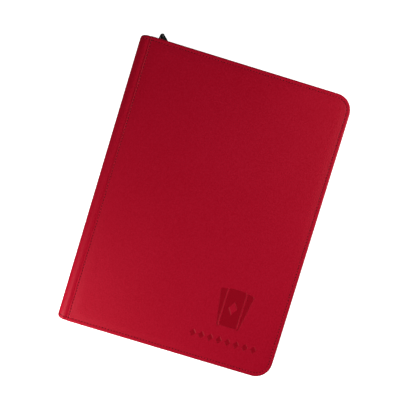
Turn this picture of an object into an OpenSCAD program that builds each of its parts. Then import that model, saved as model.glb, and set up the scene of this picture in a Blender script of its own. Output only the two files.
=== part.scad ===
// Zip-around binder for trading cards, closed and lying on its back cover.
// X runs from the spine to the fore edge, Y from foot to head, Z from back cover to front cover.
// The origin is the middle of the back cover's outer face. Millimetres.

/* [Binder] */
// Width over the covers, spine to fore edge
binder_w = 270; // [262:1:300]
// Height over the covers, foot to head
binder_h = 360; // [345:1:400]
// Thickness when closed
binder_t = 38; // [38:1:42]
// Radius of the two corners at the fore edge
corner_r = 21; // [12:1:26]
// Radius of the rounded turn from each cover into the spine
spine_r = 12.5; // [12.5:0.5:14]

/* [Cover layers] */
// Thickness of the leatherette skin
skin_t = 1; // [0.8:0.1:1.4]
// Thickness of the foam pad under the skin
foam_t = 2; // [1.5:0.1:2.4]
// Thickness of the stiff board
board_t = 1.5; // [1:0.1:1.8]
// Thickness of the lining cloth
lining_t = 0.5; // [0.3:0.1:0.6]
// Thickness of the skin where it turns round the spine
fold_t = 1.2; // [1:0.1:1.3]

/* [Pages] */
// Number of leaves, half of which turn with each cover
page_count = 20; // [10:2:20]
// Distance between neighbouring leaves along the spine
page_pitch = 1.3; // [1.2:0.05:1.3]
// Width of one pocket, for a card 63 mm wide
pocket_w = 68; // [66:0.5:68]
// Height of one pocket, for a card 88 mm high
pocket_h = 96; // [92:0.5:97]
// Thickness of a leaf over its pockets
pocket_t = 0.8; // [0.6:0.1:0.8]
// Thickness of the bare carrier sheet
sheet_t = 0.16; // [0.1:0.02:0.2]
// Width of the welds between and around the pockets
weld_w = 5; // [3:0.5:5]
// Width of the bare strip that bends beside the spine
hinge_strip_w = 19; // [19:0.5:20]

/* [Zipper] */
// Distance from the cover's edge to the zipper tape
tape_inset = 1; // [0.9:0.1:2.5]
// Thickness of the zipper tape
tape_t = 1.2; // [0.8:0.1:1.4]
// Depth of the coil, across the tape
coil_w = 3; // [2.6:0.1:3.2]
// Height of one side's coil
coil_h = 1.2; // [1:0.1:1.4]
// Clear height between the two coils
coil_gap = 1.6; // [1.6:0.1:2]
// Length of a stop at the end of the coil
stop_l = 3; // [2:0.5:4]

/* [Slider] */
// Distance from the spine's outer face to the middle of the slider
slider_from_spine = 26; // [24:0.5:40]
// Length of the slider along the zipper
slider_l = 12; // [11:0.5:14]
// Height of the slider across the zipper
slider_h = 10; // [9:0.5:11]
// Thickness of the slider's two plates
plate_t = 1.4; // [1.2:0.1:1.6]
// Width of the crown's foot
crown_w = 11.4; // [10:0.2:11.8]
// Distance of the crown's top from the slider's middle, towards the spine
crown_lean = 2.2; // [0:0.1:2.2]
// How far the middle of the crown's bar stands beyond the cover's edge
crown_reach = 7.5; // [7:0.1:9]
// Thickness of the crown's bar
crown_t = 2.2; // [2:0.1:2.3]

/* [Pull] */
// Thickness of the link's wire
link_wire = 1.4; // [1.2:0.1:1.5]
// Width of the link's head, inside the crown
link_head_w = 3.4; // [3:0.1:3.4]
// Distance between the centres of the link's two round ends
link_l = 4; // [3.5:0.1:5]
// Width of the pull tab
tab_w = 8; // [6:0.5:9]
// Thickness of the pull tab
tab_t = 1.6; // [1.2:0.1:1.6]
// Clear height of the hanging tab above the surface the binder lies on
tab_clear = 1; // [0.6:0.1:3]

/* [Hidden] */
$fn = 48;
skin_red = "#9c0a26";
lining_black = "#1d1d20";
page_black = "#26262a";
board_grey = "#8f8c86";
foam_white = "#e9e6dc";
zip_black = "#141416";
metal_black = "#2b2b2e";

cover_t = skin_t + foam_t + board_t + lining_t;
mid_z = binder_t / 2;
spine_x = -binder_w / 2;
// The seam is where a flat cover ends and its turn into the spine begins.
seam_x = spine_x + spine_r;
// Half the angle of the slit that parts a cover's turn from the spine's.
slit_a = 2;

leaf_w = hinge_strip_w + 3 * pocket_w + 3 * weld_w;
leaf_h = 3 * pocket_h + 4 * weld_w;
leaf_gap = 0.1;
spine_lining_x = spine_x + fold_t + board_t;
binding_x = spine_lining_x + lining_t;
binding_t = 4.3;
page_x = binding_x + binding_t + 0.3;
binding_h = (page_count - 1) * page_pitch + 0.9;

tape_start = seam_x + 2;
coil_start = tape_start + stop_l + 0.2;
coil_inset = tape_inset + (tape_t - coil_w) / 2;
coil_z = mid_z - coil_gap / 2 - coil_h;
stop_over = 0.5;

run_gap = 0.3;
slider_x = spine_x + slider_from_spine;
tape_y = binder_h / 2 - tape_inset - tape_t / 2;
channel_w = coil_w + 2 * run_gap;
plate_y = tape_y + channel_w / 2;
flange_h = 1.2;
slot_w = tape_t + 2 * run_gap;
web_h = coil_gap - 2 * run_gap;
web_l = 3;
crown_y = binder_h / 2 + crown_reach;
crown_x = slider_x - crown_lean;
crown_h = 2.1;
crown_top_r = 3;
crown_foot_rise = 4.1;

// The link's round ends clear the corners of the crown's bar as it swings.
link_in_r = 1.9;
link_out_r = link_in_r + link_wire;
link_t = 1.6;
link_play = 0.35;
eye_z = mid_z - link_l - link_in_r - link_wire / 2;
eye_r = 1.5;
eye_rim_r = 2.7;
tab_tip_r = 2.5;

two_digits = function (k) str(k < 10 ? "0" : "", k);
PAGES = [for (k = [1:page_count]) str("page_", two_digits(k))];
COVERS = [
    "back_skin", "back_foam", "back_board", "back_lining", "back_fold",
    "front_skin", "front_foam", "front_board", "front_lining", "front_fold"
];
SPINE = ["spine_skin", "spine_board", "spine_lining", "page_binding"];
ZIPPER = [
    "zipper_tape_back", "zipper_coil_back", "zipper_stops_back",
    "zipper_tape_front", "zipper_coil_front", "zipper_stops_front",
    "slider_body", "pull_link", "pull_tab"
];

// ---- Shared shapes ----

// A cover seen from the front: square at the seam, round at the fore edge.
module cover_outline(inset) {
    left = seam_x + inset;
    right = binder_w / 2 - inset;
    top = binder_h / 2 - inset;
    r = corner_r - inset;
    translate([left, -top]) square([right - r - left, 2 * top]);
    translate([left, r - top]) square([right - left, 2 * (top - r)]);
    for (side = [-1, 1])
        translate([right - r, side * (top - r)]) circle(r);
}

// One flat layer of a cover, from bottom to top.
module layer(bottom, thick, inset) {
    translate([0, 0, bottom]) linear_extrude(thick) cover_outline(inset);
}

// Moves a shape made for the back cover to its mirrored place on the front cover.
module on_front() {
    translate([0, 0, binder_t]) mirror([0, 0, 1]) children();
}

// Extrudes an outline drawn in X and Z along the binder's height.
module along_height(h) {
    rotate([90, 0, 0]) linear_extrude(h, center = true) children();
}

// A stretch of a round wall, from angle a to angle b, less than 90 degrees apart.
module wall_arc(r, thick, a, b) {
    far = 2 * r;
    intersection() {
        difference() {
            circle(r);
            circle(r - thick);
        }
        polygon([[0, 0], far * [cos(a), sin(a)], far * [cos(b), sin(b)]]);
    }
}

// A band standing on its edge that follows the cover's outline round the three open sides.
module edge_band(bottom, height, inset, thick, start) {
    wide = binder_w;
    difference() {
        layer(bottom, height, inset);
        for (shift = [0, -wide / 2])
            translate([shift, 0, bottom - 1])
                linear_extrude(height + 2) cover_outline(inset + thick);
        translate([start - wide, -binder_h, bottom - 1]) cube([wide, 2 * binder_h, height + 2]);
    }
}

// ---- Cover layers ----

// The skin is a tray that wraps over the edges of foam, board and lining.
module cover_skin() {
    difference() {
        layer(0, cover_t, 0);
        layer(skin_t, cover_t, skin_t);
    }
}

module cover_foam() {
    layer(skin_t, foam_t, skin_t);
}

module cover_board() {
    layer(skin_t + foam_t, board_t, skin_t);
}

module cover_lining() {
    layer(cover_t - lining_t, lining_t, skin_t);
}

// The cover's half of the turn into the spine.
module cover_fold() {
    along_height(binder_h) translate([seam_x, spine_r]) wall_arc(spine_r, fold_t, 225 + slit_a, 270);
}

module back_skin() { color(skin_red) cover_skin(); }
module back_foam() { color(foam_white) cover_foam(); }
module back_board() { color(board_grey) cover_board(); }
module back_lining() { color(lining_black) cover_lining(); }
module back_fold() { color(skin_red) cover_fold(); }
module front_skin() { color(skin_red) on_front() cover_skin(); }
module front_foam() { color(foam_white) on_front() cover_foam(); }
module front_board() { color(board_grey) on_front() cover_board(); }
module front_lining() { color(lining_black) on_front() cover_lining(); }
module front_fold() { color(skin_red) on_front() cover_fold(); }

// ---- Spine ----

// The spine's own halves of the two turns, joined by its flat back.
module spine_skin() {
    flat_h = binder_t - 2 * spine_r;
    color(skin_red) along_height(binder_h) {
        translate([spine_x, spine_r]) square([fold_t, flat_h]);
        translate([seam_x, spine_r]) wall_arc(spine_r, fold_t, 180, 225 - slit_a);
        translate([seam_x, binder_t - spine_r]) wall_arc(spine_r, fold_t, 135 + slit_a, 180);
    }
}

module spine_board() {
    board_h = binder_t - 2 * spine_r;
    color(board_grey) translate([spine_x + fold_t, 2 - binder_h / 2, mid_z - board_h / 2])
        cube([board_t, binder_h - 4, board_h]);
}

module spine_lining() {
    lining_h = binder_t - 2 * spine_r + 5;
    color(lining_black) translate([spine_lining_x, 1 - binder_h / 2, mid_z - lining_h / 2])
        cube([lining_t, binder_h - 2, lining_h]);
}

// The strip that the leaves are sewn to.
module page_binding() {
    color(lining_black) translate([binding_x, -leaf_h / 2, mid_z - binding_h / 2])
        cube([binding_t, leaf_h, binding_h]);
}

// ---- Zipper ----

module zipper_tape() {
    edge_band(cover_t, coil_z - cover_t, tape_inset, tape_t, tape_start);
}

module zipper_coil() {
    edge_band(coil_z, coil_h, coil_inset, coil_w, coil_start);
}

// A stop at each end of the coil, one at the head and one at the foot.
module zipper_stops() {
    stop_w = coil_w + 2 * stop_over;
    for (side = [-1, 1])
        translate([tape_start, side * tape_y - stop_w / 2, coil_z])
            cube([stop_l, stop_w, coil_h]);
}

module zipper_tape_back() { color(zip_black) zipper_tape(); }
module zipper_coil_back() { color(zip_black) zipper_coil(); }
module zipper_stops_back() { color(metal_black) zipper_stops(); }
module zipper_tape_front() { color(zip_black) on_front() zipper_tape(); }
module zipper_coil_front() { color(zip_black) on_front() zipper_coil(); }
module zipper_stops_front() { color(metal_black) on_front() zipper_stops(); }

// ---- Slider and pull ----

// Half of the slider's jaw, on the side that dir points to: a plate with a flange under the coil.
module jaw(dir) {
    flange_w = (channel_w - slot_w) / 2;
    plate_mid = tape_y + dir * (channel_w + plate_t) / 2;
    flange_mid = tape_y + dir * (channel_w - flange_w) / 2;
    translate([slider_x, plate_mid, mid_z]) cube([slider_l, plate_t, slider_h], center = true);
    translate([slider_x, flange_mid, mid_z - slider_h / 2 + flange_h / 2])
        cube([slider_l, flange_w, flange_h], center = true);
}

// The dome on the outer plate that the link hangs from. It leans towards the spine, and it is cut
// away under and over a straight bar, so that the link's head turns round the bar between two cheeks.
module crown() {
    gap_w = link_head_w + 2 * link_play;
    foot = crown_y - plate_y;
    sill = link_out_r + 2 * link_play;
    translate([crown_x, crown_y, mid_z - crown_h / 2]) linear_extrude(crown_h)
        difference() {
            hull() {
                circle(crown_top_r);
                translate([crown_lean - crown_w / 2, -foot]) square([crown_w, crown_foot_rise]);
            }
            translate([-gap_w / 2, -sill]) square([gap_w, sill - crown_t / 2]);
            translate([-gap_w / 2, crown_t / 2]) square([gap_w, crown_top_r]);
        }
}

// The web joins the two jaws through the gap between the coils, at the end that parts them.
module slider_body() {
    web_w = channel_w + plate_t;
    color(metal_black) union() {
        jaw(1);
        jaw(-1);
        crown();
        translate([slider_x - slider_l / 2, tape_y - web_w / 2, mid_z - web_h / 2])
            cube([web_l, web_w, web_h]);
    }
}

// A flat slot-shaped outline, from the crown's bar down.
module link_outline(r) {
    circle(r);
    translate([0, -link_l]) circle(r);
    translate([-r, -link_l]) square([2 * r, link_l]);
}

// The link has a wide, crowned head round the crown's bar and is narrow where the tab hangs from it.
module pull_link() {
    color(metal_black) translate([crown_x, crown_y, mid_z]) rotate([90, 0, 90])
        difference() {
            union() {
                linear_extrude(link_t, center = true) link_outline(link_out_r);
                intersection() {
                    cylinder(r = link_out_r + 1, h = link_head_w, center = true);
                    sphere(link_out_r);
                }
            }
            linear_extrude(link_head_w + 2, center = true) link_outline(link_in_r);
        }
}

// The tab hangs from the link by a round eye and widens towards its tip.
module pull_tab() {
    tip = eye_z - tab_clear - tab_tip_r;
    color(metal_black) translate([crown_x, crown_y + tab_t / 2, eye_z])
        rotate([90, 0, 0]) difference() {
            linear_extrude(tab_t) hull() {
                circle(eye_rim_r);
                for (side = [-1, 1])
                    translate([side * (tab_w / 2 - tab_tip_r), -tip]) circle(tab_tip_r);
            }
            translate([0, 0, -1]) cylinder(r = eye_r, h = tab_t + 2);
        }
}

// ---- Pages ----

// Leaf k counts from the front cover. Its pocket columns lie beyond the bare hinge strip.
module page(k) {
    z = mid_z + ((page_count + 1) / 2 - k) * page_pitch;
    color(page_black) translate([page_x + leaf_gap, 0, z - pocket_t / 2]) {
        translate([0, -leaf_h / 2, (pocket_t - sheet_t) / 2]) cube([leaf_w, leaf_h, sheet_t]);
        for (column = [0:2], row = [0:2])
            translate([
                hinge_strip_w + column * (pocket_w + weld_w),
                weld_w - leaf_h / 2 + row * (pocket_h + weld_w), 0
            ])
                cube([pocket_w, pocket_h, pocket_t]);
    }
}

back_skin();
back_foam();
back_board();
back_lining();
back_fold();
front_skin();
front_foam();
front_board();
front_lining();
front_fold();
spine_skin();
spine_board();
spine_lining();
page_binding();
zipper_tape_back();
zipper_coil_back();
zipper_stops_back();
zipper_tape_front();
zipper_coil_front();
zipper_stops_front();
slider_body();
pull_link();
pull_tab();
for (k = [1:page_count])
    page(k);
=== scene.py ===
"""Zip-around trading card binder: the looks of its covers, spine, zipper and leaves.

Every piece is built in metres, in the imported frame's own axes: X from spine to fore edge,
Y from foot to head, Z from the back cover to the front cover.
"""

import math

import bpy
import numpy as np
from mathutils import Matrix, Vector, noise


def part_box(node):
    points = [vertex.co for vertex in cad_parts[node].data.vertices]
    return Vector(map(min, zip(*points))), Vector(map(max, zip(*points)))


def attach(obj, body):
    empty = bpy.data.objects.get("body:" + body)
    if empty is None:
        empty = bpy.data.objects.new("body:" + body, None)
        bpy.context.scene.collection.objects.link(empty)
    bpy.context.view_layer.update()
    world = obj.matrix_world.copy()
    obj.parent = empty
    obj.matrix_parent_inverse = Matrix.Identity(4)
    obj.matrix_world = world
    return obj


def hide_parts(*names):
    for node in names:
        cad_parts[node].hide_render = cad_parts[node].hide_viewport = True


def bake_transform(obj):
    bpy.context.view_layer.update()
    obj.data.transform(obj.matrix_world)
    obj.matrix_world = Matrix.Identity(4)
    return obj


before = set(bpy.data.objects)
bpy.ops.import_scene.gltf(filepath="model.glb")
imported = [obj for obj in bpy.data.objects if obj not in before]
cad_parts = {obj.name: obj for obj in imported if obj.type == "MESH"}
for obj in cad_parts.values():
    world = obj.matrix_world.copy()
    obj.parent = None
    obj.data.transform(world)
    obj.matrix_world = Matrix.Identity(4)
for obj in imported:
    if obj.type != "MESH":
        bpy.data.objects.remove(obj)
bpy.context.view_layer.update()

MM = 0.001

# ---- Places taken from the frame ----

FRONT_LOW, FRONT_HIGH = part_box("front_skin")
LINING_LOW, LINING_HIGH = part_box("front_lining")
TAPE_LOW, TAPE_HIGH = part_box("zipper_tape_back")
COIL_LOW, COIL_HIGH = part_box("zipper_coil_back")
SPINE_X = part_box("spine_skin")[0].x
FORE_X = FRONT_HIGH.x
HEAD_Y = FRONT_HIGH.y
TOP_Z = FRONT_HIGH.z
INNER_Z = LINING_LOW.z
MID_Z = TOP_Z / 2
TURN_X = FRONT_LOW.x
TURN_R = TURN_X - SPINE_X
CORNER_R = 21 * MM

# ---- Cover ----

PANEL_LEFT = TURN_X + 0.2 * MM
SEAM_X = PANEL_LEFT + 2.3 * MM
LEFT_CORNER_R = 1.6 * MM
RIM_R = 2.1 * MM
RIM_DROP = 0.55 * MM
PAD_START = 5.6 * MM
PAD_END = 14 * MM
STITCH_INSET = 4.9 * MM
STITCH_PITCH = 3.7 * MM
STITCH_LENGTH = 2.3 * MM
STITCH_R = 0.34 * MM
HOLE_R = 0.7 * MM
HOLE_RISE = 0.2 * MM
GROOVE_DEPTH = 0.25 * MM
GROOVE_W = 0.8 * MM
GROOVE_START = 1.2 * MM
GROOVE_FULL = 2.2 * MM
RIM_FADE = 0.6 * MM
RIDGE_H = 0.3 * MM
RIDGE_CREST = 1.2 * MM
RIDGE_W = 0.7 * MM
LEFT_EDGE_R = 0.9 * MM
LEFT_EDGE_STEEPNESS = 1.3
LEFT_PAD_START = 3.2 * MM
LEFT_PAD_END = 11 * MM
UNEVEN_DEPTH = 0.10 * MM
INNER_EDGE_R = 0.5 * MM
COARSE_GRID = 5 * MM
FINE_GRID = 0.58 * MM

# ---- Cover lining ----

LINING_T = LINING_HIGH.z - LINING_LOW.z
LINING_INSET = 1.0 * MM
LINING_GRID = 6 * MM
LINING_RISE = 0.05 * MM
LINING_EDGE_R = 0.25 * MM
LINING_WAVE = 0.06 * MM
LINING_GROOVE = 0.2 * MM
LINING_GROOVE_W = 0.5 * MM

# ---- Pressed mark: three fanned cards over a row of lozenges ----

MARK_X = 68.5 * MM
MARK_Y = -106.8 * MM
CARD_W = 22 * MM
CARD_H = 47 * MM
CARD_CORNER = 2.5 * MM
CARD_TILT = math.radians(9.5)
CARD_PIVOT = 40 * MM
CARD_GAP = 1.7 * MM
MARK_EDGE = 0.35 * MM
MARK_DEPTH = 0.4 * MM
PIP_HALF_W = 5.2 * MM
PIP_HALF_H = 8.6 * MM
ROW_Y = -148.5 * MM
ROW_COUNT = 8
ROW_PITCH = 11 * MM
ROW_HALF_W = 3.6 * MM
ROW_HALF_H = 4.7 * MM

# ---- Spine ----

SKIN_T = 1.1 * MM
SPINE_SINK = 1.1 * MM
SPINE_SINK_W = 4 * MM
SPINE_SQUARENESS = 2.7
SPINE_END_DROP = 1.3 * MM
HEM_T = 3.7 * MM
HEM_REACH = 3.3 * MM
HEM_FLAP = 9 * MM
LINING_DEPTH = 3.2 * MM
LINING_CLOTH_T = 0.35 * MM
TURN_LINING_INSET = 2.6 * MM
TURN_LINING_LAP = 0.25 * MM
TURN_LINING_BEND = 0.6 * MM
SPINE_STITCH_SHIFT = 0.3 * MM
SPINE_END_INSET = 0.4 * MM
SPINE_GROOVE = 0.2 * MM
BINDING_NOTCH = 0.45 * MM
BINDING_EDGE_R = 0.5 * MM
BINDING_END_R = 0.4 * MM

# ---- Zipper ----

TAPE_CENTRE = (HEAD_Y - TAPE_HIGH.y) + 0.6 * MM
TAPE_TUCK = 0.2 * MM
TAPE_BOW = 0.35 * MM
TAPE_HALF_T = 0.28 * MM
TAPE_CORD_HALF_T = 0.22 * MM
TAPE_STATIONS = 330
WIRE_R = 0.34 * MM
WIRE_PITCH = 1.5 * MM
WIRE_AROUND = 10
WIRE_SIDES = 5
COIL_TOP = COIL_HIGH.z + 0.2 * MM
COIL_BOTTOM = COIL_LOW.z - 0.6 * MM
COIL_HALF_DEPTH = 1.35 * MM
COIL_SQUARENESS = 0.35

# ---- Leaves ----

LEAF_COUNT = 20
POCKET_W = 68 * MM
POCKET_H = 96 * MM
WELD_W = 5 * MM
HINGE_STRIP = 19 * MM
FILM_START = 3.2 * MM
NOTCH_R = 8 * MM
WELD_HALF_T = 0.11
POCKET_RISE = 0.17
FILM_RISE = 0.11
LEAF_MARGIN = 0.6 * MM

# ---- Light ----

WORLD_LIGHT = 0.08
FLOOR_REACH = 6.0
FLOOR_GLOW = 0.85
LENS_DEG = 40.8
CAMERA_X = -19.5 * MM
CAMERA_Y = 25 * MM
CAMERA_DISTANCE = 650 * MM
CAMERA_TURN_DEG = (-1.7, -0.5, 16.9)
# Each lamp's name, place, target, disc width in metres and power in watts
LAMPS = (
    ("key", (-0.45, -0.55, 0.45), (-0.05, -0.10, 0), 0.35, 5.15),
    ("low_key", (-0.27, -0.31, 0.14), (-0.12, -0.15, MID_Z), 0.15, 0.38),
    ("foot_fill", (-0.12, -0.50, 0.30), (-0.05, -0.10, MID_Z), 0.25, 0.15),
    ("right_fill", (0.58, 0.34, 0.30), (0.10, 0.08, MID_Z), 0.3, 3.3),
    ("near_fill", (0.45, 0.10, 0.30), (0.10, 0.05, MID_Z), 0.3, 0.6),
)


# ==== Mesh helpers ====

def smooth_step(value, low, high):
    """0 below low, 1 above high and a smooth rise between, for numbers and arrays."""
    t = np.clip((value - low) / (high - low), 0, 1)
    return t * t * (3 - 2 * t)


def mesh_object(name, verts, faces, material):
    """A smooth-shaded object in the scene."""
    mesh = bpy.data.meshes.new(name)
    mesh.from_pydata([tuple(v) for v in verts], [], [tuple(f) for f in faces])
    mesh.materials.append(material)
    mesh.polygons.foreach_set("use_smooth", [True] * len(mesh.polygons))
    mesh.update()
    obj = bpy.data.objects.new(name, mesh)
    bpy.context.scene.collection.objects.link(obj)
    return obj


def grid_faces(rows, columns, first=0, flip=False):
    """Quads between the points of a grid, numbered row by row from first."""
    index = first + np.arange(rows * columns).reshape(rows, columns)
    corners = [index[:-1, :-1], index[:-1, 1:], index[1:, 1:], index[1:, :-1]]
    if flip:
        corners.reverse()
    return np.stack([c.ravel() for c in corners], axis=1)


def border(rows, columns):
    """The numbers of a grid's outer points, once round."""
    index = np.arange(rows * columns).reshape(rows, columns)
    return np.concatenate([index[0, :-1], index[:-1, -1], index[-1, :0:-1], index[:0:-1, 0]])


def shell(name, outer, inner, material, sharp_deg=None):
    """A closed piece between two grids of points with the same rows and columns."""
    rows, columns = outer.shape[:2]
    count = rows * columns
    verts = np.concatenate([outer.reshape(-1, 3), inner.reshape(-1, 3)])
    rim = border(rows, columns)
    following = np.roll(rim, -1)
    wall = np.stack([rim, rim + count, following + count, following], axis=1)
    faces = np.concatenate([
        grid_faces(rows, columns),
        grid_faces(rows, columns, count, flip=True),
        wall,
    ])
    obj = mesh_object(name, verts, faces, material)
    if sharp_deg:
        obj.data.set_sharp_from_angle(angle=math.radians(sharp_deg))
    return obj


def point_values(obj, name, values):
    """Stores one number per vertex for the material to read."""
    attribute = obj.data.attributes.new(name, "FLOAT", "POINT")
    attribute.data.foreach_set("value", np.asarray(values, np.float32).ravel())


def spaced(*stretches):
    """Positions from (start, end, step) stretches, each stretch divided evenly, without repeats."""
    found = []
    for start, end, step in stretches:
        found.extend(np.linspace(start, end, max(2, round(abs(end - start) / step) + 1)))
    found = np.array(sorted(found))
    return found[np.concatenate([[True], np.diff(found) > 1e-6])]


def capsule(length, radius, around=6, caps=3):
    """A round-ended rod along X, as (verts, faces) of a closed mesh."""
    half = length / 2 - radius
    bends = np.linspace(0, math.pi / 2, caps + 1)
    stations = [(-half - radius * math.cos(b), radius * math.sin(b)) for b in bends[1:]]
    stations += [(half + radius * math.cos(b), radius * math.sin(b)) for b in bends[:0:-1]]
    turns = np.linspace(0, 2 * math.pi, around, endpoint=False)
    verts = [(x, r * math.cos(a), r * math.sin(a)) for x, r in stations for a in turns]
    faces = []
    for ring in range(len(stations) - 1):
        for k in range(around):
            a = ring * around + k
            b = ring * around + (k + 1) % around
            faces.append((a, a + around, b + around, b))
    left, right = len(verts), len(verts) + 1
    verts += [(-length / 2, 0, 0), (length / 2, 0, 0)]
    last = (len(stations) - 1) * around
    for k in range(around):
        after = (k + 1) % around
        faces.append((left, k, after))
        faces.append((right, last + after, last + k))
    return np.array(verts), faces


def low_dome(radius, rise, around=8):
    """A shallow dome in the XY plane, as (verts, faces) of a closed mesh."""
    turns = np.linspace(0, 2 * math.pi, around, endpoint=False)
    rings = [(radius, -rise), (radius, 0), (radius * 0.7, rise * 0.6)]
    verts = [(r * math.cos(a), r * math.sin(a), z) for r, z in rings for a in turns]
    faces = []
    for ring in range(len(rings) - 1):
        for k in range(around):
            a = ring * around + k
            b = ring * around + (k + 1) % around
            faces.append((a, b, b + around, a + around))
    top = len(verts)
    verts.append((0, 0, rise))
    last = (len(rings) - 1) * around
    faces.extend((last + k, last + (k + 1) % around, top) for k in range(around))
    faces.append(tuple(range(around))[::-1])
    return np.array(verts), faces


def scatter(name, template, places, material):
    """One mesh with a copy of the template at each place (point, along, up)."""
    base, base_faces = template
    verts, faces = [], []
    for point, along, up in places:
        x = np.array(along) / np.linalg.norm(along)
        z = np.array(up) / np.linalg.norm(up)
        y = np.cross(z, x)
        first = len(verts) * len(base)
        verts.append(np.array(point) + base @ np.array([x, y, z]))
        faces.extend(tuple(first + i for i in face) for face in base_faces)
    return mesh_object(name, np.concatenate(verts), faces, material)


# ==== Outlines ====

def edge_length(inset, start_x):
    """Length of the line that runs at an inset round the head, the fore edge and the foot."""
    straight = FORE_X - CORNER_R - start_x
    turn = (CORNER_R - inset) * math.pi / 2
    return 2 * straight + 2 * turn + 2 * (HEAD_Y - CORNER_R)


def edge_point(inset, start_x, s):
    """Point and outward direction at length s along that line, which starts at the head."""
    r = CORNER_R - inset
    straight = FORE_X - CORNER_R - start_x
    turn = r * math.pi / 2
    side = 2 * (HEAD_Y - CORNER_R)
    corner_x = FORE_X - CORNER_R
    corner_y = HEAD_Y - CORNER_R
    if s < straight:
        return (start_x + s, HEAD_Y - inset), (0, 1)
    s -= straight
    if s < turn:
        a = math.pi / 2 - s / r
        return (corner_x + r * math.cos(a), corner_y + r * math.sin(a)), (math.cos(a), math.sin(a))
    s -= turn
    if s < side:
        return (FORE_X - inset, corner_y - s), (1, 0)
    s -= side
    if s < turn:
        a = -s / r
        return (corner_x + r * math.cos(a), -corner_y + r * math.sin(a)), (math.cos(a), math.sin(a))
    s -= turn
    return (corner_x - s, inset - HEAD_Y), (0, -1)


def front_or_back(side, z):
    """A height over the back cover, mirrored for the front cover."""
    return z if side == "back" else TOP_Z - z


def mirrored(outer, inner):
    """A piece's two grids for the opposite cover, swapped so that its faces still point out."""
    for grid in (outer, inner):
        grid[..., 2] = TOP_Z - grid[..., 2]
    return inner, outer


def round_corner(x, y, centre_x, centre_y, right):
    """Bends the square corner of a grid beyond a centre into a round one."""
    sign = 1 if right else -1
    a = sign * (x - centre_x)
    b = np.abs(y) - centre_y
    beyond = (a > 0) & (b > 0)
    high = np.where(beyond, np.maximum(a, b), 1)
    low = np.where(beyond, np.minimum(a, b), 0)
    angle = math.pi / 4 * low / high
    along, across = high * np.cos(angle), high * np.sin(angle)
    first, second = np.where(a >= b, along, across), np.where(a >= b, across, along)
    return (np.where(beyond, centre_x + sign * first, x),
            np.where(beyond, np.sign(y) * (centre_y + second), y))


# ==== Materials ====

class Graph:
    """A material's nodes, added by kind with their inputs given by name."""

    def __init__(self, name):
        self.material = bpy.data.materials.new(name)
        self.material.use_nodes = True
        self.tree = self.material.node_tree
        self.shader = self.tree.nodes["Principled BSDF"]

    def add(self, kind, inputs=None, **settings):
        node = self.tree.nodes.new(kind)
        for key, value in settings.items():
            setattr(node, key, value)
        self.wire(node, inputs or {})
        return node

    def wire(self, node, inputs):
        for key, value in inputs.items():
            if isinstance(value, bpy.types.NodeSocket):
                self.tree.links.new(value, node.inputs[key])
            else:
                node.inputs[key].default_value = value

    def place(self):
        return self.add("ShaderNodeTexCoord").outputs["Object"]

    def noise(self, scale, detail=3.0, rough=0.5):
        inputs = {"Vector": self.place(), "Scale": scale, "Detail": detail, "Roughness": rough}
        return self.add("ShaderNodeTexNoise", inputs).outputs["Fac"]

    def cells(self, scale):
        inputs = {"Vector": self.place(), "Scale": scale}
        return self.add("ShaderNodeTexVoronoi", inputs).outputs["Distance"]

    def math(self, operation, a, b=0.0):
        return self.add("ShaderNodeMath", {0: a, 1: b}, operation=operation).outputs[0]

    def ramp(self, value, low, high, to_low, to_high):
        inputs = {0: value, 1: low, 2: high, 3: to_low, 4: to_high}
        return self.add("ShaderNodeMapRange", inputs).outputs[0]

    def mix(self, factor, a, b):
        inputs = {0: factor, 6: a, 7: b}
        return self.add("ShaderNodeMix", inputs, data_type="RGBA").outputs[2]

    def attribute(self, name):
        return self.add("ShaderNodeAttribute", attribute_name=name).outputs["Fac"]

    def stripes(self, direction, pitch):
        """A sine from 0 to 1 that repeats every pitch along a direction."""
        k = 2 * math.pi / pitch
        inputs = {0: self.place(), 1: tuple(k * d for d in direction)}
        dot = self.add("ShaderNodeVectorMath", inputs, operation="DOT_PRODUCT").outputs["Value"]
        return self.ramp(self.math("SINE", dot), -1, 1, 0, 1)

    def finish(self, colour, roughness, height, distance, strength=1.0, **plain):
        bump = self.add("ShaderNodeBump", {"Height": height, "Distance": distance, "Strength": strength})
        self.wire(self.shader, {"Base Color": colour, "Roughness": roughness,
                                "Normal": bump.outputs["Normal"]})
        for key, value in plain.items():
            self.shader.inputs[key.replace("_", " ")].default_value = value
        return self.material


def shade(r, g, b):
    """An opaque colour in linear light."""
    return (r, g, b, 1)


def leatherette():
    """Crimson synthetic leather: fine pebble grain, satin, with darker pressed places."""
    g = Graph("crimson_leatherette")
    mottle = g.noise(560, 3, 0.6)
    broad = g.noise(14, 2)
    pebble = g.cells(850)
    fine = g.noise(2200, 3, 0.65)
    pressed = g.attribute("pressed")
    rim = g.attribute("rim")
    tone = g.math("ADD", g.math("MULTIPLY", mottle, 0.8), g.math("MULTIPLY", broad, 0.2))
    dark, light = shade(0.366, 0.0006, 0.0122), shade(0.434, 0.0044, 0.0230)
    colour = g.mix(g.ramp(tone, 0.3, 0.7, 0, 1), dark, light)
    colour = g.mix(g.math("MULTIPLY", rim, 0.3), colour, shade(0.46, 0.003, 0.020))
    colour = g.mix(g.math("MULTIPLY", pressed, 0.85), colour, shade(0.27, 0.0002, 0.008))
    grain = g.math("ADD", g.math("MULTIPLY", pebble, 0.8), g.math("MULTIPLY", fine, 0.45))
    grain = g.math("ADD", grain, g.math("MULTIPLY", mottle, 2.2))
    flat = g.math("SUBTRACT", 1.0, g.math("MULTIPLY", pressed, 0.6))
    height = g.math("MULTIPLY", grain, flat)
    roughness = g.ramp(mottle, 0.3, 0.7, 0.40, 0.50)
    return g.finish(colour, roughness, height, 0.10 * MM, 0.8, Specular_IOR_Level=0.10)


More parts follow.
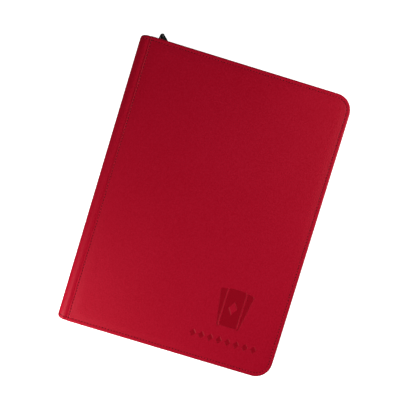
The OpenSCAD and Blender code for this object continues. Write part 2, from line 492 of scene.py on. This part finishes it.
def thread(name, dark, light):
    """Twisted sewing thread; the same material also colours the dark dome at each needle hole, which is
    painted shade.
    """
    g = Graph(name)
    twist = g.stripes((1, 1, 0.4), 0.55 * MM)
    colour = g.mix(g.ramp(g.noise(900), 0.3, 0.7, 0, 1), dark, light)
    return g.finish(colour, 0.7, twist, 0.06 * MM, 0.7, Specular_IOR_Level=0.1)


def woven(name, along, across, pitch, dark, light):
    """Woven cloth whose threads run along two directions."""
    g = Graph(name)
    warp, weft = g.stripes(along, pitch), g.stripes(across, pitch)
    weave = g.math("ADD", g.math("MULTIPLY", warp, weft),
                   g.math("MULTIPLY", g.math("SUBTRACT", 1.0, warp), g.math("SUBTRACT", 1.0, weft)))
    tone = g.math("ADD", g.math("MULTIPLY", weave, 0.6), g.math("MULTIPLY", g.noise(300), 0.4))
    colour = g.mix(tone, dark, light)
    return g.finish(colour, g.ramp(weave, 0, 1, 0.95, 0.75), weave, 0.12 * MM, 0.8, Sheen_Weight=0.2)


def nylon():
    """Black nylon with a slight shine."""
    g = Graph("coil_nylon")
    colour = g.mix(g.noise(420), shade(0.010, 0.010, 0.011), shade(0.022, 0.022, 0.024))
    return g.finish(colour, g.ramp(g.noise(700), 0.3, 0.7, 0.30, 0.42), g.noise(1500), 0.03 * MM)


def lacquer():
    """Black lacquered metal with fine scuffs that show the metal's grey."""
    g = Graph("black_lacquer")
    scuff = g.ramp(g.noise(650, 6, 0.7), 0.62, 0.72, 0, 0.5)
    colour = g.mix(scuff, shade(0.013, 0.013, 0.014), shade(0.075, 0.075, 0.08))
    return g.finish(colour, g.ramp(g.noise(240), 0.3, 0.7, 0.28, 0.42), g.noise(900), 0.02 * MM,
                    Coat_Weight=0.3, Specular_IOR_Level=0.6)


def leaf_plastic():
    """Black backing under clear glossy film, with fine ribs on the welds."""
    g = Graph("leaf_plastic")
    pocket = g.attribute("pocket")
    wave = g.noise(26, 2)
    ribs = g.math("MULTIPLY", g.stripes((1, 1, 0), 0.9 * MM), g.math("SUBTRACT", 1.0, pocket))
    colour = g.mix(pocket, shade(0.030, 0.030, 0.033), shade(0.013, 0.013, 0.015))
    roughness = g.ramp(g.math("ADD", pocket, g.math("MULTIPLY", wave, 0.3)), 0, 1.3, 0.55, 0.16)
    height = g.math("ADD", g.math("MULTIPLY", ribs, 0.12), g.math("MULTIPLY", wave, 1.0))
    return g.finish(colour, roughness, height, 0.5 * MM, 0.6, Specular_IOR_Level=0.5)


def grey_board():
    """Bare grey board with pale and dark flecks."""
    g = Graph("grey_board")
    colour = g.mix(g.noise(500, 5, 0.7), shade(0.30, 0.28, 0.25), shade(0.45, 0.43, 0.39))
    return g.finish(colour, 0.9, g.noise(1200), 0.08 * MM)


LEATHER = leatherette()
RED_THREAD = thread("crimson_thread", shade(0.40, 0.004, 0.020), shade(0.56, 0.012, 0.036))
# Dark domes at each needle hole: painted shade, a colour standing in for the shade inside the hole.
NEEDLE_HOLE_PAINTED_SHADE = thread("needle_hole_painted_shade", shade(0.018, 0.0005, 0.002), shade(0.045, 0.001, 0.004))
TAPE_CLOTH = woven("tape_cloth", (1, 1, 1), (1, 1, -1), 0.9 * MM,
                   shade(0.006, 0.006, 0.007), shade(0.022, 0.022, 0.024))
LINING_CLOTH = woven("lining_cloth", (1, 0, 0.5), (0, 1, 0.5), 0.8 * MM,
                     shade(0.010, 0.010, 0.011), shade(0.034, 0.034, 0.037))
NYLON = nylon()
LACQUER = lacquer()
LEAF_PLASTIC = leaf_plastic()
BOARD = grey_board()


# ==== Covers ====

def card_distance(x, y, tilt):
    """Distance outside a rounded card that is turned about the fan's pivot, negative inside it."""
    u = x - MARK_X
    v = y - (MARK_Y - CARD_PIVOT)
    across = u * math.cos(tilt) + v * math.sin(tilt)
    along = v * math.cos(tilt) - u * math.sin(tilt) - CARD_PIVOT
    dx = np.abs(across) - (CARD_W / 2 - CARD_CORNER)
    dy = np.abs(along) - (CARD_H / 2 - CARD_CORNER)
    outside = np.hypot(np.maximum(dx, 0), np.maximum(dy, 0))
    return outside + np.minimum(np.maximum(dx, dy), 0) - CARD_CORNER


def lozenge_distance(x, y, half_w, half_h):
    """How far a point lies outside a lozenge, negative inside it."""
    slope = math.hypot(half_w, half_h) / (half_w * half_h)
    return (np.abs(x) / half_w + np.abs(y) / half_h - 1) / slope


def inside(distance):
    """1 inside an outline and 0 outside it, with a narrow rounded edge between."""
    return 1 - smooth_step(distance, -MARK_EDGE, MARK_EDGE)


def mark_press(x, y):
    """How far the pressed mark goes down at each point, from 0 to 1."""
    front = card_distance(x, y, 0)
    pip = inside(lozenge_distance(x - MARK_X, y - MARK_Y, PIP_HALF_W, PIP_HALF_H))
    press = inside(front) - pip
    beside = 1 - inside(front - CARD_GAP)
    for tilt in (-CARD_TILT, CARD_TILT):
        press = np.maximum(press, inside(card_distance(x, y, tilt)) * beside)
    for k in range(ROW_COUNT):
        across = x - MARK_X - (k - (ROW_COUNT - 1) / 2) * ROW_PITCH
        press = np.maximum(press, inside(lozenge_distance(across, y - ROW_Y, ROW_HALF_W, ROW_HALF_H)))
    return press


def waves(x, y, scale, layer):
    """Smooth unevenness from about -1 to 1 at each point of a grid."""
    return np.array([noise.noise(Vector((a * scale, b * scale, layer))) for a, b in
                     zip(x.ravel(), y.ravel())]).reshape(x.shape)


def groove(distance, depth=GROOVE_DEPTH, width=GROOVE_W):
    """Depth of a rounded groove at a distance from its line."""
    return depth * np.exp(-(distance / width) ** 2)


def edge_drop(inset, r):
    """How far a rounded edge of radius r lies below its top at an inset from the outline."""
    return r - np.sqrt(np.maximum(r * r - np.maximum(r - inset, 0) ** 2, 0))


def panel_lines(with_mark):
    """Grid lines across and up the panel, close together at the edges, the seam and the mark."""
    edge = [0, 0.04, 0.14, 0.3, 0.55, 0.9, 1.3, 1.8, 2.4, 3.2, 3.8, 4.2, 4.45, 4.7, 4.9,
            5.1, 5.35, 5.6, 6.0, 6.8, 8, 10, 12.5, 15]
    edge = np.array(edge) * MM
    seam = np.array([0, 0.05, 0.15, 0.3, 0.5, 0.75, 1.0, 1.2, 1.4, 1.6, 1.8, 2.0, 2.15, 2.3, 2.45, 2.6,
                     2.8, 3.2, 3.8, 4.6, 6, 8, 11]) * MM
    left, right = PANEL_LEFT + seam[-1], FORE_X - edge[-1]
    foot, head = edge[-1] - HEAD_Y, HEAD_Y - edge[-1]
    coarse, fine = COARSE_GRID, FINE_GRID
    if with_mark:
        half_w = ROW_COUNT / 2 * ROW_PITCH
        half_h = CARD_H / 2 + 3 * MM
        row_h = ROW_HALF_H + 1 * MM
        low, high = MARK_X - half_w, MARK_X + half_w
        across = spaced((left, low, coarse), (low, high, fine), (high, right, coarse))
        up = spaced((foot, ROW_Y - row_h, coarse), (ROW_Y - row_h, ROW_Y + row_h, fine),
                    (ROW_Y + row_h, MARK_Y - half_h, coarse), (MARK_Y - half_h, MARK_Y + half_h, fine),
                    (MARK_Y + half_h, head, coarse))
    else:
        across = spaced((left, right, coarse))
        up = spaced((foot, head, coarse))
    x = np.concatenate([PANEL_LEFT + seam[:-1], across, (FORE_X - edge[:-1])[::-1]])
    y = np.concatenate([edge[:-1] - HEAD_Y, up, (HEAD_Y - edge[:-1])[::-1]])
    return x, y


def panel_height(x, y, inset, press):
    """Height of the front cover's padded face over the outer face of the back cover."""
    left = x - PANEL_LEFT
    z = TOP_Z - RIM_DROP - edge_drop(inset, RIM_R) - edge_drop(left, LEFT_EDGE_R) * LEFT_EDGE_STEEPNESS
    swell = smooth_step(inset, PAD_START, PAD_END) * smooth_step(left, LEFT_PAD_START, LEFT_PAD_END)
    z += RIM_DROP * swell
    z += groove(left - RIDGE_CREST, RIDGE_H, RIDGE_W) * smooth_step(inset, 0, RIM_R)
    z -= groove(inset - STITCH_INSET) * smooth_step(left, GROOVE_START, GROOVE_FULL)
    z -= groove(SEAM_X - x)
    z -= MARK_DEPTH * press
    return z - UNEVEN_DEPTH * (1 - waves(x, y, 16, 0.3)) * swell


def cover_panel(side):
    """The padded cover: leatherette over foam and board, rolled over the edge."""
    grid_x, grid_y = np.meshgrid(*panel_lines(side == "front"))
    inset = np.minimum(FORE_X - grid_x, HEAD_Y - np.abs(grid_y))
    x, y = round_corner(grid_x, grid_y, FORE_X - CORNER_R, HEAD_Y - CORNER_R, True)
    x, y = round_corner(x, y, PANEL_LEFT + LEFT_CORNER_R, HEAD_Y - LEFT_CORNER_R, False)
    press = mark_press(x, y) if side == "front" else np.zeros_like(x)
    top = panel_height(x, y, inset, press)
    bottom = INNER_Z + LINING_T + edge_drop(np.minimum(inset, grid_x - PANEL_LEFT), INNER_EDGE_R)
    outer = np.stack([x, y, top], axis=2)
    inner = np.stack([x, y, bottom], axis=2)
    if side == "back":
        outer, inner = mirrored(outer, inner)
    obj = shell(side + "_cover_panel", outer, inner, LEATHER, sharp_deg=70)
    zero = np.zeros(x.size)
    rim = (1 - smooth_step(inset, STITCH_INSET - RIM_FADE, STITCH_INSET)).ravel()
    order = [zero, press.ravel()] if side == "back" else [press.ravel(), zero]
    point_values(obj, "pressed", np.concatenate(order))
    point_values(obj, "rim", np.concatenate([rim, rim]))
    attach(obj, side + "_cover")
    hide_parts(side + "_skin", side + "_foam")


def stitch_row(name, places, gaps, bind):
    """Thread from needle hole to needle hole: stitches at the places, and in the gaps a dark dome at each
    needle hole, painted shade standing in for the hole.
    """
    rods = scatter(name, capsule(STITCH_LENGTH, STITCH_R), places, RED_THREAD)
    # Painted shade: a dark dome at each needle hole.
    hole_shade_domes = scatter(name + "_hole_painted_shade", low_dome(HOLE_R, HOLE_RISE), gaps, NEEDLE_HOLE_PAINTED_SHADE)
    for obj in (rods, hole_shade_domes):
        bind(obj)


def cover_stitches(side):
    """Stitches round the three open sides and along the seam beside the spine."""
    depth = RIM_DROP + GROOVE_DEPTH
    thread_z = front_or_back(side, depth - STITCH_R * 0.3)
    # Height of the dark domes that are painted shade at each needle hole.
    hole_shade_z = front_or_back(side, depth - HOLE_RISE * 0.1)
    up = (0, 0, 1 if side == "front" else -1)
    start = SEAM_X + STITCH_PITCH * 0.6
    length = edge_length(STITCH_INSET, start)
    count = int(length / STITCH_PITCH)
    seam_half = HEAD_Y - 1.5 * MM
    seam_count = int(2 * seam_half / STITCH_PITCH)

    def row(offset, z):
        found = []
        for k in range(count):
            (x, y), (out_x, out_y) = edge_point(STITCH_INSET, start, (k + offset) * length / count)
            found.append(((x, y, z), (-out_y, out_x, 0), up))
        for k in range(seam_count):
            y = seam_half - (k + offset) * 2 * seam_half / seam_count
            found.append(((SEAM_X, y, z), (0, 1, 0), up))
        return found

    stitch_row(side + "_cover_stitches", row(0.5, thread_z), row(0, hole_shade_z),
               lambda obj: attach(obj, side + "_cover"))


def cover_lining(side):
    """The cloth inside a cover, drawn tight over the board."""
    steps = np.array([0, 0.15, 0.45, 1, 2, 4, 7, 12]) * MM
    left, right, head = TURN_X + LINING_INSET, FORE_X - LINING_INSET, HEAD_Y - LINING_INSET
    x = np.concatenate([left + steps[:-1], spaced((left + steps[-1], right - steps[-1], LINING_GRID)),
                        (right - steps[:-1])[::-1]])
    y = np.concatenate([steps[:-1] - head, spaced((steps[-1] - head, head - steps[-1], LINING_GRID)),
                        (head - steps[:-1])[::-1]])
    grid_x, grid_y = np.meshgrid(x, y)
    edge = np.minimum(np.minimum(grid_x - left, right - grid_x), head - np.abs(grid_y))
    r = CORNER_R - LINING_INSET
    x, y = round_corner(grid_x, grid_y, right - r, head - r, True)
    face = INNER_Z + LINING_RISE + edge_drop(edge, LINING_EDGE_R)
    hem = groove(edge - STITCH_INSET + LINING_INSET, LINING_GROOVE, LINING_GROOVE_W)
    face += LINING_WAVE * waves(x, y, 30, 4.0) + hem
    hidden = np.full_like(x, INNER_Z + LINING_T)
    outer, inner = np.stack([x, y, hidden], axis=2), np.stack([x, y, face], axis=2)
    if side == "back":
        outer, inner = mirrored(outer, inner)
    obj = shell(side + "_cover_lining", outer, inner, LINING_CLOTH, sharp_deg=60)
    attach(obj, side + "_cover")
    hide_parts(side + "_lining")


# ==== Spine ====

def spine_profile(overlap, samples):
    """Points (x, z) of the turn's outer side from the seam to the middle of the spine.

    The turn is a squarish quarter round, and it dips beside the seam, under the cover's edge.
    """
    turn_z = TOP_Z - TURN_R
    power = 2 / SPINE_SQUARENESS
    points = [(TURN_X + overlap, TOP_Z - SPINE_SINK)]
    for k in range(samples + 1):
        a = math.pi / 2 * k / samples
        x = TURN_R * math.sin(a) ** power
        z = TURN_R * max(math.cos(a), 0) ** power
        dip = SPINE_SINK * (1 - smooth_step(x, -SPINE_SINK_W / 2, SPINE_SINK_W))
        points.append((TURN_X - x, turn_z + z - dip))
    points += [(SPINE_X, turn_z + (MID_Z - turn_z) * k / 5) for k in range(1, 6)]
    return np.array(points)


def profile_normals(profile):
    """Unit directions across a profile, to its left as it runs."""
    along = np.gradient(profile, axis=0)
    across = np.stack([-along[:, 1], along[:, 0]], axis=1)
    return -across / np.linalg.norm(across, axis=1, keepdims=True)


def spine_end(x):
    """Half the spine's height where its outer side is at x: it falls a little towards the back."""
    return HEAD_Y - SPINE_END_INSET - SPINE_END_DROP * np.clip((TURN_X - x) / TURN_R, 0, 1) ** 2


def hem_path(end, inset):
    """Places (y, depth) along the leatherette at an inset into it, turned in at both ends."""
    half = HEM_T / 2
    bends = np.linspace(0, math.pi / 2, 7)
    near = np.array([4, 4.3, 4.45, 4.6, 4.75, 4.9, 5.2, 5.8, 7, 10])[::-1] * MM
    flat = np.concatenate([np.linspace(0, end - 12 * MM, 20), end - near])
    dent = groove(end - flat - STITCH_INSET + SPINE_STITCH_SHIFT, SPINE_GROOVE) if inset == 0 else 0 * flat
    y = [flat, end - HEM_REACH + (HEM_REACH - inset) * np.sin(bends),
         end - half + (half - inset) * np.cos(bends[1:]), [end - HEM_FLAP / 2, end - HEM_FLAP]]
    depth = [inset + dent, half - (half - inset) * np.cos(bends),
             half + (half - inset) * np.sin(bends[1:]), [HEM_T - inset] * 2]
    y, depth = np.concatenate(y), np.concatenate(depth)
    return np.concatenate([-y[:0:-1], y]), np.concatenate([depth[:0:-1], depth])


def spine_half(side):
    """The leatherette turn from a cover into the middle of the spine, turned in at its ends."""
    profile = spine_profile(1.2 * MM, 30)
    normals = profile_normals(profile)
    grids = []
    for inset in (0, SKIN_T):
        rows = []
        for (x, z), (nx, nz) in zip(profile, normals):
            y, depth = hem_path(spine_end(x), inset)
            rows.append(np.stack([x - nx * depth, y, z - nz * depth], axis=1))
        grids.append(np.array(rows))
    outer, inner = grids
    if side == "back":
        outer, inner = mirrored(outer, inner)
    obj = shell(side + "_spine_turn", inner, outer, LEATHER, sharp_deg=70)
    point_values(obj, "pressed", np.zeros(len(obj.data.vertices)))
    point_values(obj, "rim", np.zeros(len(obj.data.vertices)))
    bend_at_turn(obj, side)
    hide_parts(side + "_fold", *(["spine_skin"] if side == "front" else []))


def bend_at_turn(obj, side):
    """Bakes a piece's placement into its mesh, the same way for either side."""
    if side == "front":
        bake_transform(obj)
    else:
        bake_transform(obj)


def spine_stitches(side):
    """The edge stitching where it runs on over the spine, at the head and the foot."""
    profile = spine_profile(0, 60)
    normals = profile_normals(profile)
    lengths = np.concatenate([[0], np.cumsum(np.linalg.norm(np.diff(profile, axis=0), axis=1))])
    count = int(lengths[-1] / STITCH_PITCH)
    tilt = 1 if side == "front" else -1

    def row(offset, depth):
        found = []
        for k in range(count):
            s = (k + offset) * lengths[-1] / count
            x, z = (np.interp(s, lengths, profile[:, i]) for i in (0, 1))
            nx, nz = (np.interp(s, lengths, normals[:, i]) for i in (0, 1))
            for sign in (-1, 1):
                y = sign * (spine_end(x) - STITCH_INSET + SPINE_STITCH_SHIFT)
                point = (x - nx * depth, y, front_or_back(side, TOP_Z - z + nz * depth))
                found.append((point, (-nz, 0, nx * tilt), (nx, 0, nz * tilt)))
        return found

    stitch_row(side + "_spine_stitches", row(0.5, SPINE_GROOVE - STITCH_R * 0.3),
               row(0, SPINE_GROOVE - HOLE_RISE * 0.1), lambda obj: bend_at_turn(obj, side))


def lining_profile():
    """Points (x, z) of the cloth from a cover's inner face round its edge to the spine's middle."""
    r = TURN_LINING_BEND
    centre = (PANEL_LEFT + r / 2, INNER_Z - TURN_LINING_LAP + r)
    points = [(PANEL_LEFT + reach * MM, INNER_Z - TURN_LINING_LAP) for reach in (7, 5, 3, 1.5)]
    for k in range(7):
        a = math.pi / 2 * k / 6
        points.append((centre[0] - r * math.sin(a), centre[1] - r * math.cos(a)))
    points += [(PANEL_LEFT - 0.3 * MM, TOP_Z - 3.4 * MM), (PANEL_LEFT - 0.6 * MM, TOP_Z - 2.9 * MM)]
    profile = spine_profile(0, 30)
    start_depth = SKIN_T + 0.4 * MM
    for (x, z), (nx, nz) in zip(profile, profile_normals(profile)):
        if x < TURN_X - 1.2 * MM:
            drop = smooth_step(TOP_Z - TURN_R - z, -5 * MM, -0.5 * MM)
            depth = start_depth + (LINING_DEPTH + 0.2 * MM - start_depth) * drop
            points.append((x - nx * depth, z - nz * depth))
    return np.array(points)


def turn_lining(side):
    """The cloth inside the turn, from the cover's lining to the middle of the spine."""
    profile = lining_profile()
    normals = profile_normals(profile)
    y = spaced((-HEAD_Y + TURN_LINING_INSET, HEAD_Y - TURN_LINING_INSET, 10 * MM))
    grids = []
    for offset in (LINING_CLOTH_T / 2, -LINING_CLOTH_T / 2):
        line = profile + normals * offset
        grids.append(np.array([np.stack([np.full_like(y, x), y, np.full_like(y, z)], axis=1)
                               for x, z in line]))
    outer, inner = grids
    if side == "back":
        outer, inner = mirrored(outer, inner)
    obj = shell(side + "_turn_lining", inner, outer, LINING_CLOTH, sharp_deg=60)
    bend_at_turn(obj, side)
    if side == "front":
        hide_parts("spine_lining")


def leaf_binding():
    """The strip that the leaves are sewn to, with a ridge for each leaf."""
    low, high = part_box("page_binding")
    first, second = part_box("page_01"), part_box("page_02")
    pitch = first[0].z - second[0].z
    top = (first[0].z + first[1].z) / 2
    z = np.linspace(low.z, high.z, 12 * LEAF_COUNT + 1)
    ridge = 0.5 + 0.5 * np.cos(2 * math.pi * (z - top) / pitch)
    face = high.x - BINDING_NOTCH * (1 - ridge)
    edge = edge_drop(np.minimum(z - low.z, high.z - z), BINDING_EDGE_R)
    end = BINDING_END_R
    y = spaced((low.y, low.y + end, end / 2), (low.y + end, high.y - end, 12 * MM),
               (high.y - end, high.y, end / 2))
    round_end = edge_drop(np.minimum(y - low.y, high.y - y), end)
    grid_y, grid_z = np.meshgrid(y, z)
    x = face[:, None] - edge[:, None] - round_end[None, :]
    outer = np.stack([x, grid_y, grid_z], axis=2)
    inner = np.stack([np.full_like(x, low.x), grid_y, grid_z], axis=2)
    obj = shell("leaf_binding", inner, outer, LINING_CLOTH, sharp_deg=60)
    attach(obj, "spine")
    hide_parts("page_binding")


# ==== Zipper ====

def zipper_tape(side):
    """Woven tape standing round the three open sides, with a thicker edge beside the coil."""
    length = edge_length(TAPE_CENTRE, TAPE_LOW.x)
    stations = np.linspace(0, length, TAPE_STATIONS)
    low, high = TAPE_LOW.z - TAPE_TUCK, TAPE_HIGH.z
    levels = low + (high - low) * np.array([0, 0.02, 0.06, 0.15, 0.3, 0.45, 0.6, 0.75, 0.85, 0.9,
                                            0.94, 0.98, 1])
    share = (levels - low) / (high - low)
    bow = TAPE_BOW * np.sin(math.pi * share)
    half = TAPE_HALF_T + TAPE_CORD_HALF_T * smooth_step(share, 0.86, 0.92)
    half = half * np.sqrt(np.clip(1 - (np.abs(2 * share - 1)) ** 30, 0.05, 1))
    outer, inner = [], []
    for s in stations:
        (x, y), (nx, ny) = edge_point(TAPE_CENTRE, TAPE_LOW.x, s)
        for rows, offset in ((outer, bow + half), (inner, bow - half)):
            rows.append(np.stack([x + nx * offset, y + ny * offset, levels], axis=1))
    outer, inner = np.array(outer), np.array(inner)
    if side == "front":
        outer, inner = mirrored(outer, inner)
    obj = shell("zipper_tape_" + side + "_cloth", outer, inner, TAPE_CLOTH, sharp_deg=60)
    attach(obj, side + "_cover")
    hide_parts("zipper_tape_" + side)


def zipper_coil(side):
    """One continuous nylon helix wound round the tape's edge."""
    reach = (COIL_TOP - COIL_BOTTOM) / 2 - WIRE_R
    depth = COIL_HALF_DEPTH - WIRE_R
    centre_z = (COIL_TOP + COIL_BOTTOM) / 2
    length = edge_length(TAPE_CENTRE, COIL_LOW.x)
    turns = int(length / WIRE_PITCH)
    phase = np.linspace(0, 2 * math.pi * turns, turns * WIRE_AROUND + 1)
    points, radial = [], []
    for p in phase:
        s = min(p / (2 * math.pi * turns), 1) * length
        (x, y), (nx, ny) = edge_point(TAPE_CENTRE, COIL_LOW.x, s)
        out, rise = math.cos(p), math.sin(p)
        squared = 1 / max(abs(out), abs(rise)) ** COIL_SQUARENESS
        points.append((x + nx * depth * out * squared, y + ny * depth * out * squared,
                       centre_z + reach * rise))
        radial.append((nx * out, ny * out, rise))
    points, radial = np.array(points), np.array(radial)
    tangent = np.gradient(points, axis=0)
    tangent /= np.linalg.norm(tangent, axis=1, keepdims=True)
    radial -= tangent * np.sum(radial * tangent, axis=1, keepdims=True)
    radial /= np.linalg.norm(radial, axis=1, keepdims=True)
    side_way = np.cross(tangent, radial)
    rings = []
    for k in range(WIRE_SIDES):
        a = 2 * math.pi * k / WIRE_SIDES
        rings.append(points + WIRE_R * (math.cos(a) * radial + math.sin(a) * side_way))
    verts = np.stack(rings, axis=1)
    if side == "front":
        verts[..., 2] = TOP_Z - verts[..., 2]
        verts = verts[:, ::-1]
    rows = len(verts)
    faces = []
    for row in range(rows - 1):
        for k in range(WIRE_SIDES):
            a, b = row * WIRE_SIDES + k, row * WIRE_SIDES + (k + 1) % WIRE_SIDES
            faces.append((a, b, b + WIRE_SIDES, a + WIRE_SIDES))
    faces.append(tuple(range(WIRE_SIDES))[::-1])
    faces.append(tuple((rows - 1) * WIRE_SIDES + k for k in range(WIRE_SIDES)))
    obj = mesh_object("zipper_coil_" + side + "_wire", verts.reshape(-1, 3), faces, NYLON)
    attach(obj, side + "_cover")
    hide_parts("zipper_coil_" + side)


# ==== Leaves ====

def leaf_mesh():
    """A leaf round its own middle plane: nine pockets of clear film, three by three."""
    step_x, step_y = POCKET_W + WELD_W, POCKET_H + WELD_W
    across = np.array([0, 0.5, 1.2, 2.6, 3.2, 3.8, 6, 8, 10, 11.6, 13, 30, 50, 65, 66.6, 67.4, 68])
    up = np.array([0, 0.5, 1.2, 3, 20, 38, 40, 42, 44, 46, 48, 50, 52, 54, 56, 58, 76, 93, 94.8, 95.5, 96])
    x = np.concatenate([[0, 0.4 * MM, 6 * MM, 12 * MM]] +
                       [HINGE_STRIP + k * step_x + across * MM for k in range(3)] +
                       [[HINGE_STRIP + 3 * step_x - LEAF_MARGIN, HINGE_STRIP + 3 * step_x]])
    half_h = (3 * POCKET_H + 4 * WELD_W) / 2
    y = np.concatenate([[-half_h, LEAF_MARGIN - half_h]] +
                       [WELD_W - half_h + k * step_y + up * MM for k in range(3)] +
                       [[half_h - LEAF_MARGIN, half_h]])
    x, y = np.meshgrid(x, y)
    u = np.where(x < HINGE_STRIP, -1, (x - HINGE_STRIP) % step_x)
    v = np.where(y < WELD_W - half_h, -1, (y + half_h - WELD_W) % step_y)
    edge = np.minimum(np.minimum(u, POCKET_W - u), np.minimum(v, POCKET_H - v))
    pocket = smooth_step(edge, -0.1 * MM, 1.2 * MM)
    opened = np.minimum(u - FILM_START, np.hypot(u - FILM_START, v - POCKET_H / 2) - NOTCH_R)
    film = smooth_step(opened, -0.3 * MM, 0.5 * MM)
    half = (WELD_HALF_T + POCKET_RISE * pocket + FILM_RISE * pocket * film) * MM
    half = half * (1 - 0.5 * (x < 1e-6))
    outer, inner = np.stack([x, y, half], axis=2), np.stack([x, y, -half], axis=2)
    obj = shell("leaf", outer, inner, LEAF_PLASTIC, sharp_deg=45)
    glossy = (pocket * (0.4 + 0.6 * film)).ravel()
    point_values(obj, "pocket", np.concatenate([glossy, glossy]))
    mesh = obj.data
    bpy.data.objects.remove(obj)
    return mesh


def leaves():
    """A copy of the leaf at each page node."""
    mesh = leaf_mesh()
    for k in range(1, LEAF_COUNT + 1):
        node = f"page_{k:02d}"
        low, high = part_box(node)
        obj = bpy.data.objects.new(f"leaf_{k:02d}", mesh)
        bpy.context.scene.collection.objects.link(obj)
        obj.location = (low.x, 0, (low.z + high.z) / 2)
        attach(obj, node)
        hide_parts(node)


# ==== CAD nodes that stay ====

def dress(name, material, bevel=0.0):
    """Gives a CAD node its material, and soft edges where a bevel is asked for."""
    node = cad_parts[name]
    node.data.materials.clear()
    node.data.materials.append(material)
    if bevel:
        node.modifiers.new("weld", "WELD").merge_threshold = 0.005 * MM
        soft = node.modifiers.new("bevel", "BEVEL")
        soft.width = bevel
        soft.segments = 3
        soft.limit_method = "ANGLE"
        soft.angle_limit = math.radians(35)
        node.modifiers.new("normals", "WEIGHTED_NORMAL")


def dress_nodes():
    """Boards, zipper stops and the slider's pieces, which keep their CAD shapes."""
    for side in ("front", "back"):
        dress(side + "_board", BOARD)
        dress("zipper_stops_" + side, LACQUER, 0.3 * MM)
    dress("spine_board", BOARD)
    dress("slider_body", LACQUER, 0.35 * MM)
    dress("pull_link", LACQUER, 0.3 * MM)
    dress("pull_tab", LACQUER, 0.4 * MM)


# ==== Stage ====

def floor():
    """A pale floor that glows faintly, so that it stays nearly white under the binder."""
    g = Graph("floor")
    colour = g.mix(g.noise(3), shade(0.93, 0.93, 0.93), shade(0.95, 0.95, 0.95))
    material = g.finish(colour, 0.9, g.noise(40), 0.01 * MM, Specular_IOR_Level=0.1)
    g.shader.inputs["Emission Color"].default_value = shade(1, 1, 1)
    g.shader.inputs["Emission Strength"].default_value = FLOOR_GLOW
    corners = [(x * FLOOR_REACH, y * FLOOR_REACH, 0) for x, y in ((-1, -1), (1, -1), (1, 1), (-1, 1))]
    obj = mesh_object("floor", corners, [(0, 1, 2, 3)], material)
    obj.visible_diffuse = False
    obj.visible_glossy = False


def area_light(name, place, target, size, power):
    """A round lamp that faces its target."""
    data = bpy.data.lights.new(name, "AREA")
    data.shape = "DISK"
    data.size = size
    data.energy = power
    obj = bpy.data.objects.new(name, data)
    bpy.context.scene.collection.objects.link(obj)
    obj.location = place
    obj.rotation_mode = "QUATERNION"
    obj.rotation_quaternion = (Vector(target) - Vector(place)).to_track_quat("-Z", "Y")


def lights():
    """The lamps, and a world that is white to the camera but lights the binder only a little."""
    for lamp in LAMPS:
        area_light(*lamp)
    world = bpy.data.worlds.new("studio")
    bpy.context.scene.world = world
    world.use_nodes = True
    tree = world.node_tree
    background = tree.nodes["Background"]
    background.inputs["Color"].default_value = shade(1, 1, 1)
    seen = tree.nodes.new("ShaderNodeLightPath").outputs["Is Camera Ray"]
    strength = tree.nodes.new("ShaderNodeMapRange")
    strength.inputs["To Min"].default_value = WORLD_LIGHT
    tree.links.new(seen, strength.inputs["Value"])
    tree.links.new(strength.outputs["Result"], background.inputs["Strength"])
    bpy.context.scene.view_settings.view_transform = "Standard"


def camera():
    """Straight above the front cover, turned so that the binder leans to the left."""
    data = bpy.data.cameras.new("camera")
    data.angle = math.radians(LENS_DEG)
    obj = bpy.data.objects.new("camera", data)
    bpy.context.scene.collection.objects.link(obj)
    obj.location = (CAMERA_X, CAMERA_Y, TOP_Z + CAMERA_DISTANCE)
    obj.rotation_euler = [math.radians(turn) for turn in CAMERA_TURN_DEG]
    bpy.context.scene.camera = obj


# ==== Assembly ====

camera()
lights()
floor()
for cover in ("front", "back"):
    cover_panel(cover)
    cover_stitches(cover)
    cover_lining(cover)
    spine_half(cover)
    spine_stitches(cover)
    turn_lining(cover)
    zipper_tape(cover)
    zipper_coil(cover)
leaf_binding()
leaves()
dress_nodes()
